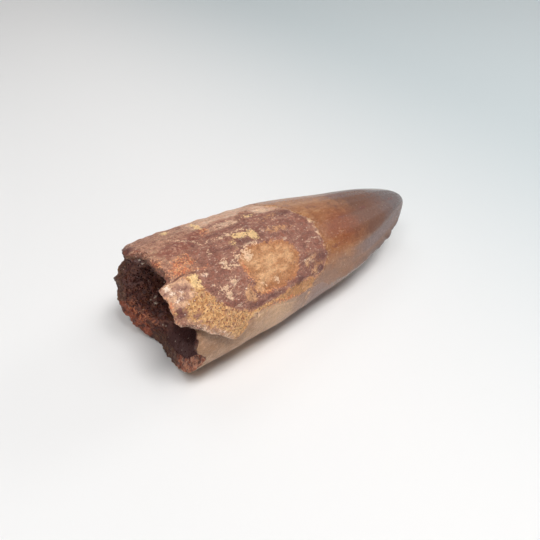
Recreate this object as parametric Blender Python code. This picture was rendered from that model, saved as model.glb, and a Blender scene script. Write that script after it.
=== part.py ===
"""A large fossil tooth of a spinosaur lying on its side, with the mineral crust that lines its hollow base.

The tooth is a stout cone that narrows to a blunt, worn tip. It lies along X with the tip towards +X, and rests
on a narrow flat worn along its underside, at z = 0. Its root end is broken off in a ragged rim, and the pulp
cavity behind the rim is open. The crust is a cup of tiny crystals and sand grains on the cavity's wall.

Every point of the tooth has two coordinates. "along" runs in millimetres from the middle of the broken end
(0) to the tip. "turn" runs in degrees round the tooth: 0 at the top, 90 on the -Y side, 180 at the underside
and -90 on the +Y side.
"""

import math

import bmesh
import bpy
from mathutils import Vector, noise

MM = 0.001

# Driving dimensions, in millimetres.
TOOTH_LENGTH = 105.0
BASE_HALF_WIDTH = 21.5
HEIGHT_SHARE_BASE = 0.87
HEIGHT_SHARE_TIP = 0.82
TAPER_POWER = 2.5
TAPER_ROUND = 0.71
TIP_RISE = 15.5
RISE_STARTS = 0.46
SIDE_BEND = 1.3
WAIST_BEND = 1.4
WAIST_ALONG = 52.0
WAIST_REACH = 14.5
WORN_FLAT = 0.4

CAVITY_DEPTH = 44.0
CAVITY_POWER = 1.7
CAVITY_ROUND = 0.75

CRUST_GAP = 0.42
CRUST_THICKNESS = 1.8
CRUST_SETBACK = 0.9
CRUST_BANK = 1.3
CRUST_BANK_TURN = 150.0
CRYSTAL_RELIEF = 2.4

# Where along the tooth its broken rim is, at each turn. Negative values are lobes that reach farther from the tip.
BROKEN_RIM = (
    (-180, 1.8), (-167, 2.6), (-150, -0.3), (-141, -1.6), (-117, -2.8), (-101, -1.6), (-93, -1.9),
    (-84, -0.3), (-74, 1.8), (-52, 1.0), (-35, -1.0), (-13, -3.2), (-4, -0.6), (10, 0.0), (27, 0.8),
    (33, -2.3), (42, -1.9), (57, -2.4), (62, -1.6), (67, 1.2), (74, 2.6), (82, 2.6), (90, 1.2), (106, 3.9),
    (118, 2.0), (134, 0.8), (160, 1.2),
)  # fmt: skip

# The thickness of the root's wall at the rim, at each turn.
ROOT_WALL = (
    (-180, 4.2), (-130, 4.2), (-85, 3.0), (-30, 2.2), (30, 1.7), (60, 1.6), (72, 2.1), (90, 2.2), (106, 2.9),
    (128, 3.8), (150, 4.2),
)  # fmt: skip

# Where along the tooth the enamel of the crown starts, at each turn. It stands a little above the bare root.
ENAMEL_EDGE = (
    (-180, 46), (-120, 44), (-60, 40), (-17, 44), (-8, 47), (5, 50), (22, 53.5), (40, 53.5), (60, 53), (74, 50),
    (84, 44), (100, 40), (140, 44),
)  # fmt: skip
ENAMEL_STEP = 0.35

# An oval where the root's dark outer layer has flaked off.
FLAKED_ALONG = 32.0
FLAKED_TURN = 51.0
FLAKED_HALF_LENGTH = 8.8
FLAKED_HALF_TURN = 22.0
FLAKED_DEPTH = 0.35

# Near the rim the outer layer has split away below a slanting line, and left a ledge.
LEDGE_TURN_AT_RIM = 65.0
LEDGE_TURN_PER_MM = 2.5
LEDGE_LENGTH = 17.0
LEDGE_DEPTH = 1.3

# The two cutting edges, on opposite sides of the crown.
CARINA_TURN = 100.0
CARINA_HEIGHT = 0.75
CARINA_WEAR = 0.8
CARINA_WIDTH_TURN = 7.0
CARINA_STARTS = 40.0
CARINA_ENDS = 101.0
FACET_TURN = 24.0
FACET_DEPTH = 0.45

LUMP_HEIGHT = 0.4
LUMP_SIZE = 13.0
PIT_HEIGHT = 0.28
PIT_SIZE = 3.6
FLUTE_HEIGHT = 0.04
FLUTE_COUNT = 22

POINTS_AROUND = 64
RINGS_OUTSIDE = 38
RINGS_CAVITY = 7
RINGS_CRYSTALS = 13


def smooth(low, high, value):
    """0 below low, 1 above high, and an even curve between them."""
    share = min(1.0, max(0.0, (value - low) / (high - low)))
    return share * share * (3.0 - 2.0 * share)


def turn_between(turn, middle):
    """How far one turn is from another, from -180 to 180 degrees."""
    return (turn - middle + 180.0) % 360.0 - 180.0


def round_table(table, turn):
    """A value read from (turn, value) pairs that go once round the tooth, with even curves between them."""
    turn = (turn + 180.0) % 360.0 - 180.0
    closed = table + ((table[0][0] + 360, table[0][1]),)
    for (turn_a, value_a), (turn_b, value_b) in zip(closed, closed[1:]):
        if turn_a <= turn <= turn_b:
            return value_a + (value_b - value_a) * smooth(turn_a, turn_b, turn)
    return table[0][1]


def texture(along, turn, size, seed):
    """Smooth noise from -1 to 1 over the tooth's surface, with lumps about size millimetres across."""
    angle = math.radians(turn)
    reach = BASE_HALF_WIDTH / size
    return noise.noise(Vector((along / size + seed, reach * math.cos(angle), reach * math.sin(angle) - seed)))


def section(along):
    """The tooth's half width, half height, and the y and z of its middle at one place along it."""
    share = min(1.0, max(0.0, along / TOOTH_LENGTH))
    half_width = BASE_HALF_WIDTH * (1.0 - share**TAPER_POWER) ** TAPER_ROUND
    half_height = half_width * (HEIGHT_SHARE_BASE + (HEIGHT_SHARE_TIP - HEIGHT_SHARE_BASE) * share)
    rise = TIP_RISE * (max(0.0, share - RISE_STARTS) / (1.0 - RISE_STARTS)) ** 2
    bend = SIDE_BEND * 0.5 * share * (1.0 + share)
    bend += WAIST_BEND * math.exp(-(((along - WAIST_ALONG) / WAIST_REACH) ** 2))
    return half_width, half_height, bend, half_height + rise - WORN_FLAT


def rim(turn):
    return round_table(BROKEN_RIM, turn)


def enamel_cover(along, turn):
    """1 on the enamelled crown, 0 on the bare root, with a crisp wavy edge between them."""
    edge = round_table(ENAMEL_EDGE, turn) + 1.2 * texture(along, turn, 7.0, 3.0)
    return smooth(-0.9, 0.9, along - edge)


def flaked(along, turn):
    """1 inside the oval where the dark layer is gone, 0 outside it."""
    reach = math.hypot(
        (along - FLAKED_ALONG) / FLAKED_HALF_LENGTH,
        turn_between(turn, FLAKED_TURN) / FLAKED_HALF_TURN,
    )
    return 1.0 - smooth(0.85, 1.1, reach + 0.15 * texture(along, turn, 4.0, 11.0))


def ledge(along, turn):
    """1 on the lip of the ledge and -1 just under it. Both fade into the smooth cone farther away."""
    under = turn_between(turn, LEDGE_TURN_AT_RIM + LEDGE_TURN_PER_MM * max(0.0, along))
    split = smooth(-3.0, 3.0, under)
    lip = (1.0 - split) * (1.0 - smooth(2.0, 30.0, -under))
    hollow = split * (1.0 - smooth(5.0, 40.0, under))
    return (lip - hollow) * (1.0 - smooth(0.6 * LEDGE_LENGTH, LEDGE_LENGTH, along))


def carina(along, turn):
    """The height of the two cutting edges, with the flat facet that runs above each."""
    height = 0.0
    growth = smooth(CARINA_STARTS, CARINA_STARTS + 25.0, along) * smooth(CARINA_ENDS, CARINA_ENDS - 14.0, along)
    worn = 1.0 + CARINA_WEAR * texture(along, 0.0, 4.0, 14.0)
    for middle in (CARINA_TURN, CARINA_TURN - 180.0):
        away = turn_between(turn, middle)
        height += CARINA_HEIGHT * worn * math.exp(-((away / CARINA_WIDTH_TURN) ** 2))
        height -= FACET_DEPTH * math.exp(-(((away + FACET_TURN) / (0.6 * FACET_TURN)) ** 2))
    return growth * height


def relief(along, turn):
    """How far the tooth's surface stands out from its smooth cone, in millimetres. The worn underside is flat."""
    root = 1.0 - enamel_cover(along, turn)
    height = ENAMEL_STEP * (1.0 - root)
    height -= FLAKED_DEPTH * flaked(along, turn)
    height += 0.5 * LEDGE_DEPTH * ledge(along, turn)
    height += carina(along, turn)
    height += LUMP_HEIGHT * (0.3 + 0.7 * root) * texture(along, turn, LUMP_SIZE, 0.0)
    height += PIT_HEIGHT * root * texture(along, turn, PIT_SIZE, 5.0)
    flutes = math.cos(math.radians(FLUTE_COUNT * turn) + 1.5 * texture(along, turn, 20.0, 8.0))
    height += FLUTE_HEIGHT * (1.0 - root) * flutes
    return height * (1.0 - smooth(0.98, 1.0, along / TOOTH_LENGTH)) * (1.0 - smooth(155.0, 168.0, abs(turn)))


def surface_point(along, turn, share=1.0, out=0.0):
    """A point of the tooth in metres: share of the way from the axis to the smooth cone, then out millimetres."""
    half_width, half_height, middle_y, middle_z = section(along)
    angle = math.radians(turn)
    across = share * half_width + out
    up = share * half_height + out
    y = middle_y - across * math.sin(angle)
    z = middle_z + up * math.cos(angle)
    return Vector((along * MM, y * MM, max(0.0, z) * MM))


def wall_share(along, turn, thickness):
    """How far from the axis a surface lies that is thickness millimetres inside the tooth's outer one."""
    half_width = section(along)[0]
    return (half_width - thickness) / half_width


def cavity_narrowing(along):
    return (1.0 - min(1.0, max(0.0, along / CAVITY_DEPTH)) ** CAVITY_POWER) ** CAVITY_ROUND


def cavity_share(along, turn, inset):
    """The cavity wall's distance from the axis, as a share of the tooth's own, less inset millimetres."""
    wall = wall_share(along, turn, round_table(ROOT_WALL, turn)) * cavity_narrowing(along)
    return max(0.02, wall - inset / section(along)[0])


def cavity_mouth(turn):
    """Where along the tooth its cavity wall starts: the thick parts of the wall broke on a slope."""
    return rim(turn) + 0.35 * round_table(ROOT_WALL, turn)


def turns():
    return [360.0 * step / POINTS_AROUND - 180.0 for step in range(POINTS_AROUND)]


def outside_ring(step):
    """One ring of the tooth's outer face. Step 0 is the broken rim. Rings crowd together there and at the tip."""
    share = step / RINGS_OUTSIDE
    crowded = 0.5 * share + 0.25 * (1.0 - math.cos(math.pi * share))
    station = TOOTH_LENGTH * (1.0 - (1.0 - crowded) ** 1.25)
    ring = []
    for turn in turns():
        along = station + rim(turn) * (1.0 - smooth(0.0, 0.25, share))
        ring.append(surface_point(along, turn, out=relief(along, turn)))
    return ring


def lip_ring(share):
    """One ring across the broken lip, from the outer rim (share 0) to the cavity's mouth (share 1)."""
    ring = []
    for turn in turns():
        along = rim(turn) + (cavity_mouth(turn) - rim(turn)) * share
        rough = 0.5 * texture(along, turn, 2.2, 20.0 + share) * math.sin(math.pi * share)
        thickness = share * round_table(ROOT_WALL, turn)
        out = relief(along, turn) * (1.0 - share)
        ring.append(surface_point(along + rough, turn, wall_share(along, turn, thickness), out))
    return ring


def cavity_ring(step):
    """One ring of the cavity's wall, from its mouth to just short of its end."""
    share = step / RINGS_CAVITY
    ring = []
    for turn in turns():
        along = cavity_mouth(turn) * (1.0 - share) + 0.97 * CAVITY_DEPTH * share
        ring.append(surface_point(along, turn, cavity_share(along, turn, 0.0)))
    return ring


def crust_thickness(along, turn):
    """The crust is a bank of sand and crystals along the lower -Y side, and thinner elsewhere."""
    bank = smooth(-0.2, 1.0, math.cos(math.radians(turn - CRUST_BANK_TURN)))
    return CRUST_THICKNESS + CRUST_BANK * bank + 0.6 * texture(along, turn, 9.0, 31.0)


def crust_ring(share, last, under=0.0, crystal=0.0):
    """One ring of the crust, share of the way to its end at last, under the cavity's wall by a share of its
    thickness and with crystals of the given height in millimetres."""
    ring = []
    for turn in turns():
        along = (cavity_mouth(turn) + CRUST_SETBACK) * (1.0 - share) + last * share
        inset = CRUST_GAP * (1.0 + smooth(0.5, 1.0, share)) + under * crust_thickness(along, turn)
        inset += crystal * (0.5 + 0.5 * texture(along, turn, 1.1, 40.0))
        ring.append(surface_point(along, turn, cavity_share(along, turn, inset)))
    return ring


def closed_mesh(name, rings, first_pole, last_pole, sharp_angle):
    """A closed mesh from rings of equal size, with a fan of triangles to a pole at each end."""
    mesh = bmesh.new()
    rows = [[mesh.verts.new(point) for point in ring] for ring in rings]
    for row, after in zip(rows, rows[1:]):
        for here in range(POINTS_AROUND):
            there = (here + 1) % POINTS_AROUND
            mesh.faces.new((row[here], row[there], after[there], after[here]))
    for row, pole in ((rows[0], first_pole), (rows[-1], last_pole)):
        point = mesh.verts.new(pole)
        for here in range(POINTS_AROUND):
            mesh.faces.new((row[here], row[(here + 1) % POINTS_AROUND], point))
    bmesh.ops.triangulate(mesh, faces=mesh.faces[:])
    bmesh.ops.recalc_face_normals(mesh, faces=mesh.faces[:])
    data = bpy.data.meshes.new(name)
    mesh.to_mesh(data)
    mesh.free()
    data.shade_smooth()
    data.set_sharp_from_angle(angle=math.radians(sharp_angle))
    return data


def tooth_mesh():
    rings = [outside_ring(step) for step in reversed(range(RINGS_OUTSIDE))]
    rings += [lip_ring(share) for share in (0.35, 0.7)]
    rings += [cavity_ring(step) for step in range(RINGS_CAVITY)]
    tip = surface_point(TOOTH_LENGTH, 0.0)
    end = surface_point(CAVITY_DEPTH, 0.0, 0.0)
    return closed_mesh("tooth", rings, tip, end, 35.0)


def crust_mesh():
    """A cup: its back follows the cavity's wall across a thin gap, and its free face is made of flat crystals."""
    back_end = 0.93 * CAVITY_DEPTH
    face_end = 0.82 * CAVITY_DEPTH
    rings = [crust_ring(step / RINGS_CAVITY, back_end) for step in reversed(range(RINGS_CAVITY))]
    rings.append(crust_ring(0.0, face_end, 0.45, 0.5))
    for step in range(1, RINGS_CRYSTALS):
        rings.append(crust_ring((step / RINGS_CRYSTALS) ** 1.25, face_end, 1.0, CRYSTAL_RELIEF))
    first = surface_point(back_end, 0.0, 0.0)
    last = surface_point(face_end, 0.0, 0.0)
    return closed_mesh("cavity_crust", rings, first, last, 12.0)


def material(name, colour, roughness):
    made = bpy.data.materials.new(name)
    made.use_nodes = True
    shader = made.node_tree.nodes["Principled BSDF"]
    shader.inputs["Base Color"].default_value = (*colour, 1.0)
    shader.inputs["Roughness"].default_value = roughness
    shader.inputs["Metallic"].default_value = 0.0
    return made


def add_object(data, surface):
    data.materials.append(surface)
    made = bpy.data.objects.new(data.name, data)
    bpy.context.scene.collection.objects.link(made)
    return made


def centre_on_floor(whole, objects):
    """Moves the meshes so that the origin is under the middle of the whole's box."""
    xs = [vertex.co.x for vertex in whole.vertices]
    ys = [vertex.co.y for vertex in whole.vertices]
    offset = Vector((-(min(xs) + max(xs)) / 2.0, -(min(ys) + max(ys)) / 2.0, 0.0))
    for made in objects:
        made.location = offset


def main():
    for old in list(bpy.data.objects):
        bpy.data.objects.remove(old)
    tooth = add_object(tooth_mesh(), material("fossil_tooth", (0.36, 0.19, 0.12), 0.5))
    crust = add_object(crust_mesh(), material("crystal_crust", (0.10, 0.045, 0.035), 0.45))
    centre_on_floor(tooth.data, (tooth, crust))


main()
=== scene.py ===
# %% [markdown]
# # A fossil dinosaur tooth
# The object is a spinosaur's tooth that turned to stone about a hundred million years ago. It is one piece: a
# smooth crown of enamel, a rough root, and a hollow base whose wall is crusted with sand and crystals. This
# lesson dresses the plain solids of the tooth and its crust with the shapes and colours that time gave them.
# The solids come first, as a frame: every size below is read from them or shared with them.

import math

import bpy
import numpy as np
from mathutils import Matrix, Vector, noise


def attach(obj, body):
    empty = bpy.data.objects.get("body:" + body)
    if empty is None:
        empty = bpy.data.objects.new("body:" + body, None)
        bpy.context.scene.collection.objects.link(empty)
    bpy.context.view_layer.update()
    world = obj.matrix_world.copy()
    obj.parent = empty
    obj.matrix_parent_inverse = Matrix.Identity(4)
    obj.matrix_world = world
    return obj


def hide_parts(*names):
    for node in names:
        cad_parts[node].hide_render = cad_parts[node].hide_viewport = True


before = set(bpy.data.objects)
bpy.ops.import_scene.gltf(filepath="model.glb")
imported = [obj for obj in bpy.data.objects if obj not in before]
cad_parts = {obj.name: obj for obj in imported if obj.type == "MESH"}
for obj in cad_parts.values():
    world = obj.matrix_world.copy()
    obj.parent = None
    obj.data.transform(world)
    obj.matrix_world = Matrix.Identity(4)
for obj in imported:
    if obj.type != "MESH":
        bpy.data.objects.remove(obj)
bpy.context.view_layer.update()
MM = 0.001

# %% [markdown]
# ## Where things are on a tooth
# A point on a tooth is easiest to name by two numbers. "Along" is the distance in millimetres from the broken
# end towards the tip. "Turn" is the angle in degrees round it: 0 on top, 90 on the near side, 180 underneath
# and -90 on the far side. The values here are the ones that shape the solid, so the dressed tooth fits it.
# The functions take whole arrays at once, because numpy works out ninety thousand points in one go.

# %% The smooth cone
TOOTH_LENGTH = 105.0
BASE_HALF_WIDTH = 21.5
HEIGHT_SHARE_BASE = 0.87
HEIGHT_SHARE_TIP = 0.82
TAPER_POWER = 2.5
TAPER_ROUND = 0.71
TIP_RISE = 15.5
RISE_STARTS = 0.46
SIDE_BEND = 1.3
WAIST_BEND = 1.4
WAIST_ALONG = 52.0
WAIST_REACH = 14.5
WORN_FLAT = 0.4

solid_tip = max((vertex.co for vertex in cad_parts["tooth"].data.vertices), key=lambda point: point.x)
ROOT_X = solid_tip.x / MM - TOOTH_LENGTH
ROOT_Y = solid_tip.y / MM - SIDE_BEND


def section(along):
    """The tooth's half width, half height, and the y and z of its middle at places along it."""
    share = np.clip(along / TOOTH_LENGTH, 0.0, 1.0)
    half_width = BASE_HALF_WIDTH * (1.0 - share**TAPER_POWER) ** TAPER_ROUND
    half_height = half_width * (HEIGHT_SHARE_BASE + (HEIGHT_SHARE_TIP - HEIGHT_SHARE_BASE) * share)
    rise = TIP_RISE * (np.maximum(0.0, share - RISE_STARTS) / (1.0 - RISE_STARTS)) ** 2
    bend = SIDE_BEND * 0.5 * share * (1.0 + share)
    bend = bend + WAIST_BEND * np.exp(-(((along - WAIST_ALONG) / WAIST_REACH) ** 2))
    return half_width, half_height, bend, half_height + rise - WORN_FLAT


def tooth_points(along, turn, share=1.0, out=0.0):
    """Points in metres: share of the way from the axis to the smooth cone, then out millimetres farther."""
    half_width, half_height, middle_y, middle_z = section(along)
    angle = np.radians(turn)
    y = ROOT_Y + middle_y - (share * half_width + out) * np.sin(angle)
    z = middle_z + (share * half_height + out) * np.cos(angle)
    return np.stack(np.broadcast_arrays(ROOT_X + along, y, np.maximum(0.0, z)), -1) * MM


print("broken end at x =", round(ROOT_X, 2), "mm, tip at x =", round(solid_tip.x / MM, 2), "mm")

# %% [markdown]
# ## Helpers for wear and chance
# Three small tools do most of the shaping. `smooth` is an even ramp, `round_table` reads a value that changes
# round the tooth, and `lumps` is smooth noise that is tied to the stone, so a lump is always in the same place.
# The noise is Perlin's, which Blender offers both to scripts and to shaders.

# %% Ramps, tables and lumps
def smooth(low, high, value):
    """0 below low, 1 above high, and an even curve between them."""
    share = np.clip((value - low) / (high - low), 0.0, 1.0)
    return share * share * (3.0 - 2.0 * share)


def wrap(turn):
    """A turn between -180 and 180 degrees."""
    return (turn + 180.0) % 360.0 - 180.0


def round_table(table, turn):
    """Values read from (turn, value) pairs that go once round the tooth, with even curves between them."""
    turns, values = np.array(table + ((table[0][0] + 360.0, table[0][1]),)).T
    turn = wrap(turn)
    place = np.clip(np.searchsorted(turns, turn, side="right") - 1, 0, len(table) - 1)
    share = (turn - turns[place]) / (turns[place + 1] - turns[place])
    return values[place] + (values[place + 1] - values[place]) * share * share * (3.0 - 2.0 * share)


def stone_places(along, turn, size, seed):
    """Places in the stone for a noise whose lumps are about size millimetres across."""
    angle, reach = np.radians(turn), BASE_HALF_WIDTH / size
    places = (along / size + seed, reach * np.cos(angle), reach * np.sin(angle) - seed)
    return np.stack(np.broadcast_arrays(*places), -1)


def lumps(along, turn, size, seed):
    """Smooth noise from -1 to 1."""
    places = stone_places(along, turn, size, seed)
    heights = [noise.noise(place) for place in places.reshape(-1, 3).tolist()]
    return np.array(heights).reshape(places.shape[:-1])


def grains(along, turn, size, seed):
    """Rounded grains packed side by side: 1 at the middle of a grain, about 0 between grains."""
    places = stone_places(along, turn, size, seed)
    nearest = [noise.voronoi(place)[0][0] for place in places.reshape(-1, 3).tolist()]
    return 1.0 - np.minimum(1.0, np.array(nearest).reshape(places.shape[:-1])) ** 2


# %% [markdown]
# ## The broken end
# The root snapped off long ago. Its rim is ragged, and the wall behind it is thin on top and thick underneath.
# Two short tables hold this: how far the rim reaches at each turn, and how thick the wall is there. They have
# only the points where the break changes direction. Noise adds the small teeth between them.

# %% The rim, the wall and the hollow
BROKEN_RIM = (
    (-180, 1.8), (-167, 2.6), (-150, -0.3), (-141, -1.6), (-117, -2.8), (-101, -1.6), (-93, -1.9),
    (-84, -0.3), (-74, 1.8), (-52, 1.0), (-35, -1.0), (-13, -3.2), (-4, -0.6), (10, 0.0), (27, 0.8),
    (33, -2.3), (42, -1.9), (57, -2.4), (62, -1.6), (67, 1.2), (74, 2.6), (82, 2.6), (90, 1.2), (106, 3.9),
    (118, 2.0), (134, 0.8), (160, 1.2),
)  # fmt: skip
ROOT_WALL = (
    (-180, 4.2), (-130, 4.2), (-85, 3.0), (-30, 2.2), (30, 1.7), (60, 1.6), (72, 2.1), (90, 2.2), (106, 2.9),
    (128, 3.8), (150, 4.2),
)  # fmt: skip
CAVITY_DEPTH = 44.0
CAVITY_POWER = 1.7
CAVITY_ROUND = 0.75


def rim(turn):
    ragged = 0.45 * lumps(0.0, turn, 2.4, 50.0) + 0.35 * lumps(0.0, turn, 0.9, 51.0)
    return round_table(BROKEN_RIM, turn) + ragged


def cavity_mouth(turn):
    """Where along the tooth the hollow's wall starts. The thick parts of the wall broke on a slope."""
    return rim(turn) + 0.35 * round_table(ROOT_WALL, turn)


def cavity_share(along, turn, inset):
    """The hollow's reach from the axis, as a share of the tooth's own, less inset millimetres."""
    half_width = section(along)[0]
    narrowing = (1.0 - np.clip(along / CAVITY_DEPTH, 0.0, 1.0) ** CAVITY_POWER) ** CAVITY_ROUND
    wall = (half_width - round_table(ROOT_WALL, turn)) / half_width * narrowing
    return np.maximum(0.02, wall - inset / half_width)


def rusted(turn):
    """How rusty the break is: most low on the far side, and some on the lip under the near side."""
    far_side = smooth(28.0, 12.0, np.abs(wrap(turn + 136.0)))
    return far_side + 0.7 * smooth(38.0, 22.0, np.abs(wrap(turn - 130.0)))


def chalky(turn):
    """How pale the break is: on the near lobe, and under the near side."""
    near_lobe = smooth(20.0, 12.0, np.abs(wrap(turn - 46.0)))
    return near_lobe + 0.6 * smooth(36.0, 22.0, np.abs(wrap(turn - 125.0)))


all_turns = np.linspace(-180.0, 180.0, 361)
print("rim reaches from", round(rim(all_turns).min(), 1), "to", round(rim(all_turns).max(), 1), "mm along")

# %% [markdown]
# ## Patches on the root
# The look of this tooth is in its patches: a purple-brown skin, an oval where that skin flaked off, yellow and
# cream flakes, an ochre sandy field, and a smooth grey flank. Each patch is a closed outline of a few points,
# in along and turn. From it comes one number for each point of the tooth, its distance in millimetres inside
# the outline. A shader can make any edge from such a distance: crisp, soft or ragged.

# %% Outlines of the patches
MM_PER_DEGREE = 0.33

PURPLE_SKIN = (
    (10, 12), (13, 8), (17, 2), (21, 1), (31, 0), (32, -9), (36, -11), (38, -3), (47, -2), (50, 5), (51.5, 14),
    (53.5, 24), (54, 38), (53, 50), (53, 64), (50, 68), (50, 79), (47, 78), (43, 74.5), (38, 74), (33, 76.5),
    (24, 79), (20, 76), (16, 71), (12, 64), (10, 55), (9, 46), (8, 38), (11, 32), (10, 22),
)  # fmt: skip
RED_DUST = ((2, 3), (7, -4), (14, -6), (20, -12), (31, -14), (31, -9), (21, -3), (18, 5), (12, 12), (5, 12))
TAN_STRIP = (
    (18, -16), (20, -8), (20, -1), (31, -1), (31, -14), (37, -15), (39, -4), (48, -2), (56, -6), (56, -50),
    (30, -52), (17, -40),
)  # fmt: skip
FLAKED_OVAL = (
    (21.5, 40), (21.5, 34), (24, 28), (27, 25.5), (31, 27.5), (35, 29), (38, 33), (40, 37), (41.5, 46), (41, 55),
    (39, 62), (37, 67), (33, 70), (29, 68.5), (26, 69), (23, 67), (22.5, 61), (24, 56), (22.5, 50), (22, 44),
)  # fmt: skip
OCHRE_SAND = (
    (3, 36), (6, 31), (8, 34), (8, 42), (10, 52), (12, 63), (16, 72), (20, 77), (27, 78), (33, 76), (38, 73.5),
    (43, 76), (46, 81), (43, 87), (38, 88), (33, 86), (28, 81), (22, 81), (18, 86), (16, 95), (12, 97), (9, 88),
    (6, 78), (3, 68), (0, 60), (-3, 50), (0, 44),
)  # fmt: skip
GREY_FLANK = (
    (-4, 66), (1, 67), (4, 74), (7, 84), (10, 92), (13, 98), (16, 96), (18, 88), (22, 82), (28, 82), (33, 87),
    (38, 89), (43, 88), (48, 90), (56, 110), (60, 160), (20, 172), (-4, 172),
)  # fmt: skip
SPARKLING_LOBE = ((-4, 31), (2, 30), (5, 33), (6, 40), (6, 46), (1, 50), (-4, 50))
FAR_PURPLE_SKIN = (
    (4, -60), (16, -50), (30, -48), (44, -62), (49, -85), (46, -118), (34, -132), (20, -120), (8, -128),
    (2, -100),
)  # fmt: skip
FAR_OCHRE_SAND = ((6, -128), (20, -120), (34, -134), (44, -124), (42, -150), (20, -160), (4, -150))
RIM_CRACK = ((-1, 29), (2, 30), (5, 28), (9, 30))
FLANK_SCRATCH = ((28, 86), (32, 90), (36, 95))


def charted(along, turn, middle):
    """Places on a flat chart of the tooth, in millimetres, unrolled about a middle turn."""
    flat = np.stack(np.broadcast_arrays(along, middle + wrap(turn - middle)), -1)
    return flat * (1.0, MM_PER_DEGREE)


def to_line(start, end, places):
    """The distance of places on the chart from one straight line."""
    edge, offset = end - start, places - start
    share = np.clip(offset @ edge / (edge @ edge), 0.0, 1.0)
    return np.linalg.norm(offset - share[..., None] * edge, axis=-1)


def beside(route, along, turn):
    """How far points are from a crack or scratch, in millimetres."""
    corners = np.array(route, float) * (1.0, MM_PER_DEGREE)
    places = charted(along, turn, route[0][1])
    return np.min([to_line(start, end, places) for start, end in zip(corners, corners[1:])], axis=0)


def inside(outline, along, turn):
    """How far points are inside an outline, in millimetres. It is negative outside."""
    corners = np.array(outline, float)
    places = charted(along, turn, corners[:, 1].mean())
    corners *= (1.0, MM_PER_DEGREE)
    nearest = np.full(places.shape[:-1], np.inf)
    within = np.zeros(places.shape[:-1], bool)
    for start, end in zip(corners, np.roll(corners, -1, axis=0)):
        nearest = np.minimum(nearest, to_line(start, end, places))
        if start[1] != end[1]:
            crosses = (start[1] > places[..., 1]) != (end[1] > places[..., 1])
            slope = (end[0] - start[0]) / (end[1] - start[1])
            within ^= crosses & (places[..., 0] - start[0] < (places[..., 1] - start[1]) * slope)
    return np.where(within, nearest, -nearest)


# %% [markdown]
# Smaller marks need no outline. Each is an oval spot: its middle in along and turn, its half length and half
# width in millimetres, and how far it is turned from the tooth's length. A group of spots is one patch.

# %% Oval spots
YELLOW_FLAKES = (
    (31, 17.5, 1.7, 2.0, 0), (27, 14.8, 2.5, 1.2, 8), (23.6, 20.5, 0.7, 1.0, 0), (7.4, 36, 1.1, 1.9, 0),
    (10.5, -25, 0.9, 1.3, 0), (19.5, -17, 0.8, 3.0, 0), (36, -6, 1.5, 0.6, 0), (27, -88, 1.6, 1.0, 0),
    (12, -104, 1.2, 0.9, 20),
)  # fmt: skip
CREAM_FLAKES = (
    (17.2, 33, 1.2, 0.7, 20), (19.0, 36.5, 1.6, 0.55, 15), (22.3, 32, 1.6, 0.5, -20), (25.2, 34.5, 1.6, 1.1, 0),
    (25.2, 28, 1.4, 0.4, -20), (17.4, 48, 0.5, 1.0, 20), (13.4, 51, 1.1, 0.6, 0), (14.3, 57, 0.9, 0.8, 30),
    (12.2, 46, 0.4, 0.4, 0), (11.2, 34, 0.4, 0.3, 0), (16, 20, 0.4, 0.3, 0), (22, 10, 2.0, 0.25, -5),
    (27.6, 9.3, 1.3, 0.3, 0), (14.0, 4.0, 1.6, 0.3, 45), (25.5, -6, 2.6, 0.5, -5), (29, -4, 1.2, 0.4, 0),
    (26.2, 60, 0.5, 0.7, 0), (30.6, 62, 0.5, 0.7, 0), (28, 25, 1.4, 0.3, 0), (43.5, 58, 1.2, 0.25, 0),
    (45, 61.5, 1.0, 0.25, 10), (53, 22, 0.4, 0.9, 0), (53, 36, 0.4, 0.9, 0), (41.5, -8, 1.4, 0.6, 0),
    (27, 22, 0.4, 0.2, 0), (24.4, 24, 0.3, 0.3, 0), (47.4, 75, 1.2, 0.3, 20), (21, 84, 1.0, 0.3, 30),
    (33, -76, 2.0, 0.5, 10), (22, -98, 0.9, 0.7, 0), (38, -100, 1.4, 0.5, -15), (16, -72, 0.7, 0.5, 0),
)  # fmt: skip
TAN_FLAKES = (
    (46.4, 58, 2.2, 0.7, 8), (47.6, 66, 2.0, 1.2, 20), (43.2, 62, 1.2, 1.2, 0), (45.8, 72, 1.6, 1.4, 0),
    (44, 4, 3.0, 0.5, -5), (40, 20, 2.4, 0.6, 10), (20.5, 65, 1.5, 1.9, 0), (25, 60, 2.0, 2.4, 20),
    (41, 83, 2.0, 1.1, 10), (31, -90, 2.6, 0.9, 15),
)  # fmt: skip
ORANGE_STAINS = (
    (5.6, 20, 1.2, 0.8, 20), (7.4, 17, 1.4, 0.8, -20), (9.2, 20, 1.0, 1.4, 0), (6.2, 25.5, 2.6, 0.7, 10),
    (19.6, -5, 1.3, 1.3, 0), (0.9, 12, 1.1, 0.9, 0), (22.7, 43, 0.4, 1.4, 0), (27, 68, 1.4, 0.35, 20),
    (-2.2, 49, 0.6, 1.6, 0), (31, 84, 2.5, 0.4, 10),
    (9, -88, 2.2, 1.2, 0), (30, -110, 2.4, 1.0, 10),
)  # fmt: skip
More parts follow.
